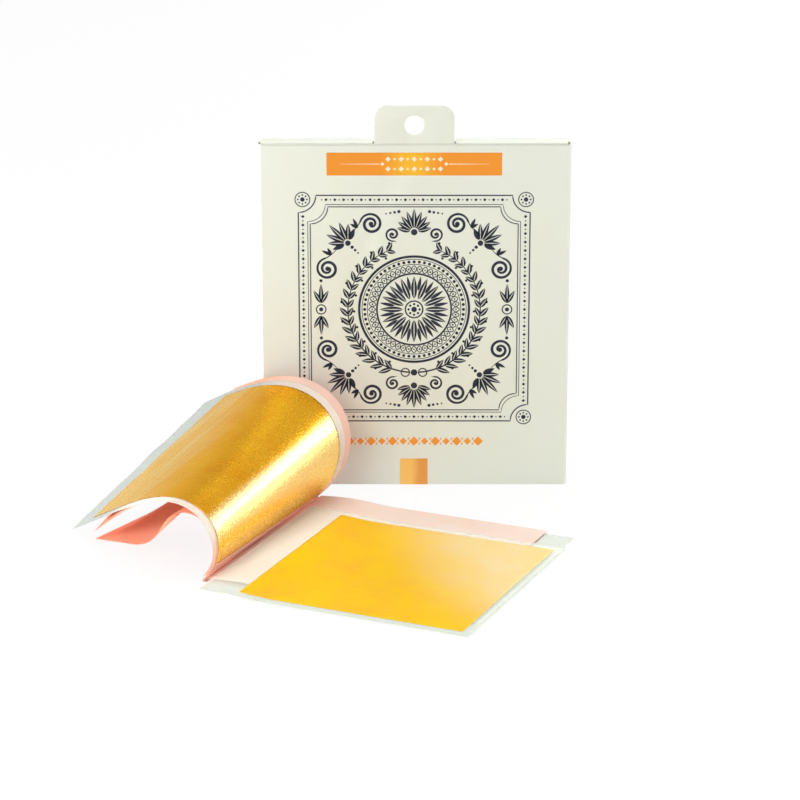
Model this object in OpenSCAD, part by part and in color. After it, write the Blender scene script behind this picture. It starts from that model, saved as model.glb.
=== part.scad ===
// Gold leaf booklet lying open in front of its hang-tab card packet.
// Frame: X along the packet's width, Y away from the viewer, Z up,
// origin at the middle of the packet's base, on the surface it stands on.

/* [Pages] */
// Width of a tissue page, from the gutter to its fore edge
page_w = 88; // [70:1:110]
// Height of a tissue page, along the spine
page_h = 88.5; // [70:0.5:110]
// Thickness of a tissue page
page_t = 0.15; // [0.1:0.05:0.3]

/* [Transfer sheets] */
// Width of a transfer sheet, across the booklet
sheet_w = 97; // [90:1:115]
// Height of a transfer sheet, along the spine
sheet_h = 87; // [85:1:110]
// Thickness of a transfer sheet
sheet_t = 0.12; // [0.08:0.02:0.2]
// Side of the square gold leaf
leaf_side = 80; // [60:1:82]
// Thickness of the gold leaf as modelled
leaf_t = 0.03; // [0.02:0.01:0.1]
// Bare margin of a sheet on three of its sides
sheet_margin = 3.5; // [2:0.5:5]
// Space between a sheet and the leaf or page it rides on
ply_gap = 0.1; // [0.05:0.05:0.2]

/* [Lie of the booklet] */
// Turn of the spine from the packet's depth direction
booklet_turn = 24; // [0:1:40]
// X of the spine's far end
spine_far_x = -34.4; // [-60:0.2:20]
// Distance from the packet's face to the spine's far end
spine_far_gap = 15; // [14:0.5:60]
// Clearance between pieces that move apart
move_gap = 0.3; // [0.2:0.05:0.4]

/* [Right-hand stack] */
// Height of the hump that the right page makes beside the gutter
hump_rise = 0.85; // [0.2:0.05:1.2]
// Distance from the gutter to the crest of the hump
hump_crest = 13; // [8:1:20]
// Distance from the gutter to the foot of the hump
hump_foot = 32; // [25:1:45]
// Distance from the gutter to the top sheet's inner edge
top_sheet_in = 4; // [3:0.5:12]
// How far the top sheet has slipped nearer than the spine's near end
top_sheet_slip = 12.5; // [0:0.5:20]
// Distance from the gutter to the under sheet's inner edge
under_sheet_in = 1.9; // [1.5:0.1:10]

/* [Turned pages, near edge] */
// Angle at which the curl would start, before it bends
near_from = 18; // [10:1:25]
// Angle at which the curl ends, over 180 points down again
near_to = 211; // [205:1:214]
// Where the bend starts along the page, negative is before the gutter
near_bend_from = -49.7; // [-54:0.1:-45]
// Where the bend ends along the page
near_bend_to = 85.8; // [83:0.2:88]
// How sharply the bend gathers at its middle
near_ease = 3; // [2.8:0.1:3.2]
// How far the fore edge drifts along the spine
near_drift = 26.4; // [20:0.2:28]

/* [Turned pages, far edge] */
// Angle at which the curl would start, before it bends
far_from = 30; // [25:1:35]
// Where the bend starts along the page, negative is before the gutter
far_bend_from = -43; // [-47:0.5:-40]
// Where the bend ends along the page
far_bend_to = 117; // [114:0.5:120]
// How sharply the bend gathers at its middle
far_ease = 2.7; // [2.5:0.1:2.9]
// How far the fore edge drifts along the spine
far_drift = 7; // [3:0.5:10]
// How far the inner page sags from the sheet on it at its fore edge
page_sag = 1.6; // [0:0.1:2]

/* [Hanging page] */
// Angle the page turns to before it bends back, near edge
hang_near_to = 267.5; // [262:0.5:272]
// Where its bend ends, near edge
hang_near_bend_to = 96; // [94:0.5:99]
// How far it bends back, near edge
hang_near_back = 76; // [70:1:80]
// Where it starts to bend back, near edge
hang_near_back_from = 44.5; // [43:0.5:46]
// Where it has bent back, near edge
hang_near_back_to = 69; // [67:0.5:73]
// Angle the page turns to, far edge
hang_far_to = 285; // [275:1:290]
// Where its bend ends, far edge
hang_far_bend_to = 134; // [131:0.5:137]

/* [Spine] */
// Width of the glued spine strip
spine_w = 1.4; // [1:0.1:2]
// Height of the spine strip over the bottom page
spine_rise = 0.6; // [0.4:0.1:0.8]
// Thickness of the binding thread
thread_d = 0.3; // [0.2:0.05:0.4]
// Number of stitches in the gutter
stitch_count = 4; // [2:1:8]
// Length of a stitch
stitch_l = 10; // [4:1:14]

/* [Packet] */
// Width of the packet
packet_w = 110; // [95:1:140]
// Height of the packet's front, to its top fold
packet_h = 126; // [105:1:160]
// Depth of the packet
packet_d = 5.5; // [5.2:0.1:12]
// Thickness of the card
card_t = 0.4; // [0.3:0.05:0.5]
// Size of the slanted crease along the packet's sides
side_bevel = 1.2; // [0.8:0.1:2]
// Width of the glue flap inside the side seam
side_flap_w = 12; // [8:1:20]
// Height of the glue flap inside the bottom
bottom_flap_h = 12; // [8:1:20]

/* [Hang tab] */
// Width of the hang tab
tab_w = 28; // [22:1:40]
// Height of the hang tab over the top fold
tab_h = 14; // [12:1:20]
// Corner radius of the hang tab
tab_r = 4.4; // [2:0.2:6]
// Radius of the hang hole
hole_r = 3.5; // [3:0.1:4]
// Height of the hole's centre over the top fold
hole_z = 7; // [6:0.5:9]

/* [Closure] */
// Length of the tuck panel down the packet's back
tuck_l = 26; // [20:1:40]
// Inset of the tuck panel from the packet's sides
tuck_inset = 2; // [1:0.5:5]
// Corner radius of the tuck panel
tuck_r = 8; // [3:1:12]
// Play around the hang tab where the closure is cut out for it
tab_play = 0.4; // [0.3:0.1:1]

/* [Printed matter] */
// Thickness of the ink and foil as modelled
ink_t = 0.05; // [0.03:0.01:0.1]
// Width of the label bar
bar_w = 61.5; // [40:0.5:80]
// Height of the label bar
bar_h = 8.2; // [5:0.2:12]
// Distance from the top fold to the label bar's middle
bar_drop = 6.9; // [6.2:0.1:10]
// Width of the ornament's frame
frame_w = 82; // [60:1:90]
// Height of the ornament's frame
frame_h = 84; // [60:1:90]
// Height of the ornament's middle over the base
frame_z = 66; // [64:1:68]
// Width of an ornament line
line_w = 0.6; // [0.4:0.1:1]
// Radius of the scooped corners of the ornament's frame
scoop_r = 7; // [4:0.5:10]
// Distance between the ornament's outer and inner frame lines
frame_step = 2.4; // [1.8:0.2:4]
// Outer radius of the medallion
medal_r = 24; // [18:0.5:28]
// Number of petals in the rosette
petal_count = 16; // [8:1:24]
// Width of a petal
petal_w = 2; // [1:0.2:3]
// Radius of the dot in the middle of the rosette
core_r = 3; // [1:0.2:5]
// Distance of the petals from the dot and from the inner ring
petal_gap = 2.4; // [1:0.2:4]
// Length of the petal at each corner of the medallion
spray_l = 8; // [5:0.5:10]
// Length of the small ornament rule
rule_l = 47.5; // [30:0.5:60]
// Height of the ornament rule over the base
rule_z = 16.5; // [14:0.5:19]
// Side of the lozenge in the middle of the rule
lozenge_side = 1.8; // [1:0.2:3]
// Distance of the rule's two lines from the lozenge
lozenge_gap = 1; // [0.5:0.1:2]
// Side of the gold sample square at the bottom edge
sample_side = 9.9; // [6:0.1:12]

/* [Hidden] */
$fn = 64;

packet_face = -packet_d / 2;
spine_far_y = packet_face - spine_far_gap;
spine_near_x = spine_far_x - page_h * sin(booklet_turn);
spine_near_y = spine_far_y - page_h * cos(booklet_turn);

// Levels of the plies over the ground, each the underside of its ply
wide_margin = sheet_w - leaf_side - sheet_margin;
under_sheet_z = page_t + move_gap;
under_leaf_z = under_sheet_z + sheet_t + ply_gap / 2;
right_page_z = under_leaf_z + leaf_t + move_gap;
top_sheet_z = right_page_z + page_t + move_gap;
top_leaf_z = top_sheet_z + sheet_t + ply_gap / 2;

// The curls start this far below the top of the spine strip
gutter_drop = 0.15;
gutter_z = page_t + spine_rise - gutter_drop;
// The turned pages start this far along their track, just clear of the strip
page_start = 0.8;
// Play that lets the right page turn beside the strip
turn_play = 0.4;
right_page_in = spine_w / 2 + move_gap + turn_play;
// Steps of the hump's profile
hump_steps = 12;
// How soon the inner page starts to sag, and how much of it is left at the far edge
sag_power = 1.6;
sag_reach = 1.3;
// Step of an arc's points, the length it runs past the sheet, and the pitch of a
// curled ply's facets along the page and along the spine
curl_step = 1;
curl_spare = 8;
curl_reach = sheet_w + curl_spare;
facet_along = 2.8;
facet_across = 22;
// Edges of the turned sheet along the spine, which carry the two arcs
arc_near_v = -2.2;
arc_far_v = arc_near_v + sheet_h;
// Distance from the gutter to the turned sheet's inner edge
turned_sheet_in = 2.9;
// Distance of the hanging page under the turned sheet at the gutter
hang_inset = 1;
// Distance along the page at which the drift of an arc is stated
drift_at = 100;
// How sharply the hanging page bends back
hang_ease = 1.6;
// Turn of the packet's sides at each of their two creases
crease_turn = 45;
// How far a cut runs past the face that it opens
cut_over = 1;

// Arcs: start, end, bend from, bend to, ease, drift, back turn, back from, back to
near_arc = [near_from, near_to, near_bend_from, near_bend_to, near_ease, near_drift, 0, 0, 1];
far_arc = [far_from, near_to, far_bend_from, far_bend_to, far_ease, far_drift, 0, 0, 1];
hang_near_arc = [near_from, hang_near_to, near_bend_from, hang_near_bend_to, near_ease,
    near_drift, hang_near_back, hang_near_back_from, hang_near_back_to];
hang_far_arc = [far_from, hang_far_to, far_bend_from, hang_far_bend_to, far_ease,
    far_drift, 0, 0, 1];

paper_pink = [1.0, 0.80, 0.73];
paper_salmon = [1.0, 0.55, 0.46];
sheet_white = [0.90, 0.92, 0.88];
gold = [0.95, 0.72, 0.20];
card_cream = [0.91, 0.91, 0.87];
ink_navy = [0.10, 0.13, 0.27];
label_orange = [0.96, 0.60, 0.13];

// Rises from 0 to 1 over t from 0 to 1, steeper in the middle as q grows
function ease(t, q) = t <= 0 ? 0 : t >= 1 ? 1 : pow(t, q) / (pow(t, q) + pow(1 - t, q));

// Direction of an arc at a distance s along it, 90 is straight up
function heading(a, s) = a[0] + (a[1] - a[0]) * ease((s - a[2]) / (a[3] - a[2]), a[4])
    - a[6] * ease((s - a[7]) / (a[8] - a[7]), hang_ease);

// Part of a step along the page that is left for the arc once it drifts
function arc_share(a, s) = sqrt(1 - pow(2 * a[5] * s / pow(drift_at, 2), 2));

// One step along an arc, in the plane across the spine
function arc_step(a, s) = curl_step * arc_share(a, s) * [cos(heading(a, s)), sin(heading(a, s))];

// Points of an arc in steps from the gutter
function arc_walk(a) = [for (i = 0, p = [0, gutter_z]; i <= curl_reach;
    p = p + arc_step(a, (i + 0.5) * curl_step), i = i + 1) p];

// Point on an arc at a distance s, between two of its steps
function arc_at(walk, s) = let (i = floor(s / curl_step), f = s / curl_step - i)
    walk[i] * (1 - f) + walk[i + 1] * f;

// Outward side of the arc at a distance s, where the gold lies
function arc_side(a, s) = [sin(heading(a, s)), -cos(heading(a, s))];

// Point of a curled ply, s along the page and v along the spine, lift outward
function curl_point(a, b, wa, wb, s, v, lift) = let (
    f = (v - arc_near_v) / (arc_far_v - arc_near_v),
    p = arc_at(wa, s) * (1 - f) + arc_at(wb, s) * f,
    n = arc_side(a, s) * (1 - f) + arc_side(b, s) * f,
    q = p + n * lift / norm(n),
    drift = (a[5] * (1 - f) + b[5] * f) * pow(s / drift_at, 2))
    [q[0], v + drift, q[1]];

// Sag of the inner page below its sheet, growing towards the near fore edge
function sag(s, v) = page_sag * pow(max(0, (s - page_w / 2) / (page_w / 2)), sag_power)
    * (1 - v / page_h / sag_reach);

// Height of the right page's hump at a distance u from the gutter
function hump(u) = hump_rise * (u < hump_crest ? sin(90 * max(0, u) / hump_crest)
    : u < hump_foot ? (1 + cos(180 * (u - hump_crest) / (hump_foot - hump_crest))) / 2 : 0);

// Height of the top sheet's hump, which stays at the crest towards the gutter
function sheet_hump(u) = hump(max(u, hump_crest));

// Facet lines from one edge to the other, on whole pitches between the edges
function facet_lines(from, to, pitch) = concat(from,
    [for (k = [floor(from / pitch):ceil(to / pitch)])
        if (k * pitch > from + pitch / 4 && k * pitch < to - pitch / 4) k * pitch], to);

// Places a piece of the booklet, drawn with the spine along Y, in the part's frame
module lay_booklet() {
    translate([spine_near_x, spine_near_y, 0])
        rotate([0, 0, -booklet_turn])
            children();
}

// A curled ply between two arcs, from s0 to s1 along the page and v0 to v1 along the spine
module curled_ply(a, b, s0, s1, v0, v1, lift, t, sags = false) {
    wa = arc_walk(a);
    wb = arc_walk(b);
    along = facet_lines(s0, s1, facet_along);
    across = facet_lines(v0, v1, facet_across);
    cols = len(along) - 1;
    rows = len(across) - 1;
    per_row = cols + 1;
    layer = (rows + 1) * per_row;
    points = [for (side = [0.5, -0.5]) for (v = across) for (s = along)
        curl_point(a, b, wa, wb, s, v, lift + side * t - (sags ? sag(s, v) : 0))];
    top = [for (j = [0:rows - 1]) for (i = [0:cols - 1]) let (k = j * per_row + i)
        each [[k, k + 1, k + per_row + 1], [k, k + per_row + 1, k + per_row]]];
    under = [for (f = top) [f[0] + layer, f[2] + layer, f[1] + layer]];
    ring = concat([for (i = [0:cols - 1]) i], [for (j = [0:rows - 1]) j * per_row + cols],
        [for (i = [cols:-1:1]) rows * per_row + i], [for (j = [rows:-1:1]) j * per_row]);
    n = len(ring);
    rim = [for (k = [0:n - 1]) let (p = ring[k], q = ring[(k + 1) % n])
        each [[p, p + layer, q + layer], [p, q + layer, q]]];
    polyhedron(points, concat(top, under, rim), convexity = 6);
}

// A flat ply with a hump profile, from u0 to u1 across and v0 to v1 along the spine
module humped_ply(u0, u1, v0, v1, z0, t, over_crest = false) {
    bend = [for (i = [0:hump_steps]) u0 + (hump_foot - u0) * i / hump_steps];
    us = concat(bend, [u1]);
    low = [for (u = us) [u, z0 + (over_crest ? sheet_hump(u) : hump(u))]];
    high = [for (p = low) p + [0, t]];
    translate([0, v1, 0])
        rotate([90, 0, 0])
            linear_extrude(v1 - v0)
                polygon(concat(low, [for (i = [len(high) - 1:-1:0]) high[i]]));
}

// A flat ply of one thickness
module flat_ply(u0, u1, v0, v1, z0, t) {
    translate([u0, v0, z0])
        cube([u1 - u0, v1 - v0, t]);
}

module spine_strip() {
    color(paper_salmon)
        lay_booklet()
            translate([-spine_w / 2, 0, page_t])
                cube([spine_w, page_h, spine_rise]);
}

module binding_thread() {
    pitch = page_h / stitch_count;
    color(paper_salmon)
        lay_booklet()
            for (i = [0:stitch_count - 1])
                translate([0, (i + 0.5) * pitch - stitch_l / 2, page_t + spine_rise + thread_d / 2])
                    rotate([-90, 0, 0])
                        cylinder(d = thread_d, h = stitch_l);
}

module page_right_outer() {
    color(paper_pink)
        lay_booklet()
            flat_ply(-spine_w / 2, page_w, 0, page_h, 0, page_t);
}

module page_right_inner() {
    color(paper_pink)
        lay_booklet()
            humped_ply(right_page_in, page_w, 0, page_h, right_page_z, page_t);
}

module transfer_sheet_right() {
    color(sheet_white)
        lay_booklet()
            humped_ply(top_sheet_in, top_sheet_in + sheet_w, -top_sheet_slip,
                sheet_h - top_sheet_slip, top_sheet_z, sheet_t, true);
}

module gold_leaf_right() {
    u0 = top_sheet_in + wide_margin;
    v0 = sheet_margin - top_sheet_slip;
    color(gold)
        lay_booklet()
            humped_ply(u0, u0 + leaf_side, v0, v0 + leaf_side, top_leaf_z, leaf_t, true);
}

module transfer_sheet_under() {
    color(sheet_white)
        lay_booklet()
            flat_ply(under_sheet_in, under_sheet_in + sheet_w, 0, sheet_h, under_sheet_z, sheet_t);
}

module gold_leaf_under() {
    u0 = under_sheet_in + sheet_margin;
    color(gold)
        lay_booklet()
            flat_ply(u0, u0 + leaf_side, sheet_margin, sheet_margin + leaf_side, under_leaf_z, leaf_t);
}

module page_left_inner() {
    color(paper_pink)
        lay_booklet()
            curled_ply(near_arc, far_arc, page_start, page_w, 0, page_h,
                -(sheet_t + page_t) / 2 - ply_gap, page_t, true);
}

module transfer_sheet_left() {
    color(sheet_white)
        lay_booklet()
            curled_ply(near_arc, far_arc, turned_sheet_in, turned_sheet_in + sheet_w,
                arc_near_v, arc_far_v, 0, sheet_t);
}

module gold_leaf_left() {
    s0 = turned_sheet_in + sheet_margin;
    v0 = arc_near_v + sheet_margin;
    color(gold)
        lay_booklet()
            curled_ply(near_arc, far_arc, s0, s0 + leaf_side, v0, v0 + leaf_side,
                (sheet_t + leaf_t) / 2 + ply_gap, leaf_t);
}

module page_left_outer() {
    color(paper_salmon)
        lay_booklet()
            curled_ply(hang_near_arc, hang_far_arc, page_start, page_w, 0, page_h,
                -hang_inset, page_t);
}

// A card panel in the packet's upright plane, from its outer face inward
module upright_card(y0, t) {
    translate([0, y0 + t, 0])
        rotate([90, 0, 0])
            linear_extrude(t)
                children();
}

// The hang tab's outline, grown by a play, from the top fold up
module tab_outline(play) {
    r = tab_r + play;
    w = tab_w + 2 * play;
    h = tab_h + play;
    translate([-w / 2, 0])
        square([w, h - r]);
    translate([r - w / 2, 0])
        square([w - 2 * r, h]);
    for (side = [-1, 1])
        translate([side * (w / 2 - r), h - r])
            circle(r);
}

module packet_front() {
    w = packet_w - 2 * side_bevel;
    color(card_cream)
        difference() {
            upright_card(packet_face, card_t) {
                translate([-w / 2, 0])
                    square([w, packet_h]);
                translate([0, packet_h])
                    tab_outline(0);
            }
            translate([0, packet_face + card_t + cut_over, packet_h + hole_z])
                rotate([90, 0, 0])
                    cylinder(r = hole_r, h = card_t + 2 * cut_over);
        }
}

module packet_back() {
    w = packet_w - 2 * side_bevel;
    color(card_cream)
        upright_card(-packet_face - card_t, card_t)
            translate([-w / 2, 0])
                square([w, packet_h]);
}

// The right-hand side of the packet with its two slanted creases
module packet_side() {
    x1 = packet_w / 2;
    x0 = x1 - side_bevel;
    y1 = packet_d / 2;
    y0 = y1 - side_bevel;
    in = card_t * tan(crease_turn / 2);
    outer = [[x0, -y1], [x1, -y0], [x1, y0], [x0, y1]];
    inner = [[x0, y1 - card_t], [x1 - card_t, y0 - in], [x1 - card_t, in - y0], [x0, card_t - y1]];
    color(card_cream)
        linear_extrude(packet_h)
            polygon(concat(outer, inner));
}

module packet_side_left() {
    mirror([1, 0, 0])
        packet_side();
}

module packet_side_right() {
    packet_side();
}

module packet_bottom() {
    w = packet_w - 2 * side_bevel;
    color(card_cream)
        translate([-w / 2, packet_face + card_t, 0])
            cube([w, packet_d - 2 * card_t, card_t]);
}

module side_glue_flap() {
    x1 = packet_w / 2 - side_bevel;
    color(card_cream)
        translate([x1 - side_flap_w, -packet_face - 2 * card_t, bottom_flap_h + card_t + move_gap])
            cube([side_flap_w, card_t, packet_h - bottom_flap_h - card_t - 2 * move_gap]);
}

module bottom_glue_flap() {
    w = packet_w - 2 * side_bevel - 2 * tuck_inset;
    color(card_cream)
        translate([-w / 2, -packet_face - 2 * card_t, card_t])
            cube([w, card_t, bottom_flap_h]);
}

// The two strips that fold over the packet's top, one on each side of the hang tab
module closure_strip() {
    x0 = tab_w / 2 + tab_play;
    w = packet_w / 2 - tuck_inset - x0;
    color(card_cream)
        for (side = [-1, 1])
            translate([side > 0 ? x0 : -x0 - w, packet_face, packet_h + move_gap])
                cube([w, packet_d + move_gap, card_t]);
}

// The panel down the packet's back, with a notch where the hang tab was cut from it
module closure_tuck() {
    w = packet_w - 2 * tuck_inset;
    y0 = -packet_face + 2 * move_gap;
    color(card_cream)
        translate([0, 0, packet_h + move_gap + card_t])
            upright_card(y0, card_t)
                difference() {
                    union() {
                        translate([-w / 2, tuck_r - tuck_l])
                            square([w, tuck_l - tuck_r]);
                        translate([tuck_r - w / 2, -tuck_l])
                            square([w - 2 * tuck_r, tuck_l]);
                        for (side = [-1, 1])
                            translate([side * (w / 2 - tuck_r), tuck_r - tuck_l])
                                circle(tuck_r);
                    }
                    intersection() {
                        translate([0, packet_d])
                            mirror([0, 1])
                                tab_outline(tab_play);
                        translate([-tab_w, -tab_h])
                            square([2 * tab_w, tab_h + cut_over]);
                    }
                }
}

// Ink or foil on the packet's face, from an outline in its own plane
module printed() {
    upright_card(packet_face - ink_t, ink_t)
        children();
}

module label_bar() {
    color(label_orange)
        printed()
            translate([-bar_w / 2, packet_h - bar_drop - bar_h / 2])
                square([bar_w, bar_h]);
}

// A rectangle with its corners scooped out
module scooped(w, h, r) {
    difference() {
        square([w, h], center = true);
        for (x = [-1, 1])
            for (y = [-1, 1])
                translate([x * w / 2, y * h / 2])
                    circle(r);
    }
}

// A line that follows the inside of a scooped rectangle
module scooped_line(w, h, r) {
    difference() {
        scooped(w, h, r);
        scooped(w - 2 * line_w, h - 2 * line_w, r + line_w);
    }
}

module ring_line(r) {
    difference() {
        circle(r);
        circle(r - line_w);
    }
}

// A pointed petal from the centre outward
module petal(l, w) {
    bow = (l * l / 4 + w * w / 4) / w;
    translate([l / 2, 0])
        intersection() {
            translate([0, bow - w / 2])
                circle(bow);
            translate([0, w / 2 - bow])
                circle(bow);
        }
}

module ornament_print() {
    inner_ring = medal_r - frame_step;
    petal_in = core_r + petal_gap;
    corner = medal_r + line_w;
    color(ink_navy)
        printed()
            translate([0, frame_z]) {
                scooped_line(frame_w, frame_h, scoop_r);
                scooped_line(frame_w - 2 * frame_step, frame_h - 2 * frame_step, scoop_r);
                ring_line(medal_r);
                ring_line(inner_ring);
                for (i = [0:petal_count - 1])
                    rotate(360 * i / petal_count)
                        translate([petal_in, 0])
                            petal(inner_ring - line_w - petal_gap - petal_in, petal_w);
                circle(core_r);
                for (x = [-1, 1])
                    for (y = [-1, 1])
                        translate([x * corner, y * corner])
                            rotate(45 * (x * y) + (x < 0 ? 180 : 0))
                                petal(spray_l, petal_w);
            }
}

module ornament_rule() {
    arm_in = lozenge_side * sqrt(0.5) + lozenge_gap;
    arm_l = rule_l / 2 - arm_in;
    color(label_orange)
        printed()
            translate([0, rule_z]) {
                rotate(45)
                    square(lozenge_side, center = true);
                for (side = [-1, 1])
                    translate([side * (arm_in + arm_l / 2), 0])
                        square([arm_l, line_w], center = true);
            }
}

module gold_sample() {
    color(gold)
        printed()
            translate([-sample_side / 2, 0])
                square(sample_side);
}

spine_strip();
binding_thread();
page_right_outer();
page_right_inner();
transfer_sheet_right();
gold_leaf_right();
transfer_sheet_under();
gold_leaf_under();
page_left_inner();
transfer_sheet_left();
gold_leaf_left();
page_left_outer();
packet_front();
packet_back();
packet_side_left();
packet_side_right();
packet_bottom();
side_glue_flap();
bottom_glue_flap();
closure_strip();
closure_tuck();
label_bar();
ornament_print();
ornament_rule();
gold_sample();
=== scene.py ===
"""Looks of an open gold leaf booklet and the hang-tab card packet behind it.

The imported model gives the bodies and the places. Each sub-assembly below is a class that
builds its meshes and dresses them, and each finish is a class that makes one material.
"""

import logging
from collections.abc import Callable
from dataclasses import dataclass, field, replace
from enum import Enum
from math import cos, pi, radians, sin, sqrt

import bmesh
import bpy
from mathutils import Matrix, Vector, noise


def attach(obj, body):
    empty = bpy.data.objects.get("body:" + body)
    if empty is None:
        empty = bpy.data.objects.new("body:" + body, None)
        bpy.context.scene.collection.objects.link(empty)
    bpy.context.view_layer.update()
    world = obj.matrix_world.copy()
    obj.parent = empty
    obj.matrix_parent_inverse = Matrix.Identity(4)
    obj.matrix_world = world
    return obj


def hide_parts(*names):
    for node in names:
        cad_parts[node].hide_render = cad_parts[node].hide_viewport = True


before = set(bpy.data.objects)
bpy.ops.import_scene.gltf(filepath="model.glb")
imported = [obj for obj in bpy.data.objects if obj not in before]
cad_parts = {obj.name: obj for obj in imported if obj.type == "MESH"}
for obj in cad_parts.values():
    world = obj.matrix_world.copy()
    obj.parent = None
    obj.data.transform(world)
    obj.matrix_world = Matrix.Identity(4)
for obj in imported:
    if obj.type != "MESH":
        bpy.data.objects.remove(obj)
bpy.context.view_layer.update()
LOG = logging.getLogger("booklet")
MM = 0.001
Socket = bpy.types.NodeSocket
Colour = tuple[float, float, float, float]
Pair = tuple[float, float]
Triple = tuple[float, float, float]


def srgb(red: int, green: int, blue: int) -> Colour:
    """Turn a colour as a screen shows it into the renderer's linear one.

    Args:
        red: Red from 0 to 255.
        green: Green from 0 to 255.
        blue: Blue from 0 to 255.

    Returns:
        The linear colour with an alpha of 1.
    """
    parts = [c / 255 for c in (red, green, blue)]
    linear = [c / 12.92 if c <= 0.04045 else ((c + 0.055) / 1.055) ** 2.4 for c in parts]
    return (linear[0], linear[1], linear[2], 1.0)


class Slot(Enum):
    """Material slots of the record."""

    TISSUE = "tissue_pink"
    SALMON = "tissue_salmon"
    SHEET = "transfer_paper"
    GOLD = "gold_leaf"
    THREAD = "thread"
    CARD = "card"
    ORANGE = "print_orange"
    NAVY = "print_navy"
    FOIL = "foil_gold"


class Body(Enum):
    """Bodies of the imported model."""

    BOOKLET = "booklet"
    TURNED = "turned_pages"
    RIGHT = "right_page"
    TOP = "top_sheet"
    UNDER = "under_sheet"
    PACKET = "packet"
    STRIP = "closure_strip"
    TUCK = "closure_tuck"


class Nodes:
    """Maker of the nodes of one node tree."""

    def __init__(self, tree: bpy.types.NodeTree) -> None:
        """Start with the tree empty.

        Args:
            tree: The node tree.
        """
        self.tree = tree
        tree.nodes.clear()

    def node(self, kind: str, **settings: object) -> bpy.types.Node:
        """Add a node.

        Args:
            kind: The node's type name without its ShaderNode prefix.
            **settings: Attributes to set on it.

        Returns:
            The new node.
        """
        made = self.tree.nodes.new("ShaderNode" + kind)
        for key, value in settings.items():
            setattr(made, key, value)
        return made

    def feed(self, socket: Socket, value: object) -> None:
        """Set or link an input socket.

        Args:
            socket: The input.
            value: A number, a vector, a colour or an output socket.
        """
        if isinstance(value, Socket):
            self.tree.links.new(value, socket)
        else:
            socket.default_value = value

    def spread(self, value: Socket, low: float, high: float, to_low: float = 0,
               to_high: float = 1) -> Socket:
        """Map a value smoothly from one range to another.

        Args:
            value: The value.
            low: Start of its range.
            high: End of its range.
            to_low: What the start becomes.
            to_high: What the end becomes.

        Returns:
            The mapped value.
        """
        made = self.node("MapRange", interpolation_type="SMOOTHSTEP")
        for socket, given in zip(made.inputs, (value, low, high, to_low, to_high)):
            self.feed(socket, given)
        return made.outputs[0]

    def mix(self, factor: object, first: object, second: object, plain: bool = False) -> Socket:
        """Mix two colours or two plain numbers.

        Args:
            factor: Share of the second.
            first: A value or socket.
            second: A value or socket.
            plain: True for plain numbers.

        Returns:
            The mixed value.
        """
        made = self.node("Mix", data_type="FLOAT" if plain else "RGBA")
        start, out = (2, 0) if plain else (6, 2)
        for i, given in ((0, factor), (start, first), (start + 1, second)):
            self.feed(made.inputs[i], given)
        return made.outputs[out]

    def maths(self, kind: str, first: object, second: object = 0.0) -> Socket:
        """One step of arithmetic.

        Args:
            kind: The operation.
            first: A number or socket.
            second: A number or socket.

        Returns:
            The result.
        """
        made = self.node("Math", operation=kind)
        self.feed(made.inputs[0], first)
        self.feed(made.inputs[1], second)
        return made.outputs[0]


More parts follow.
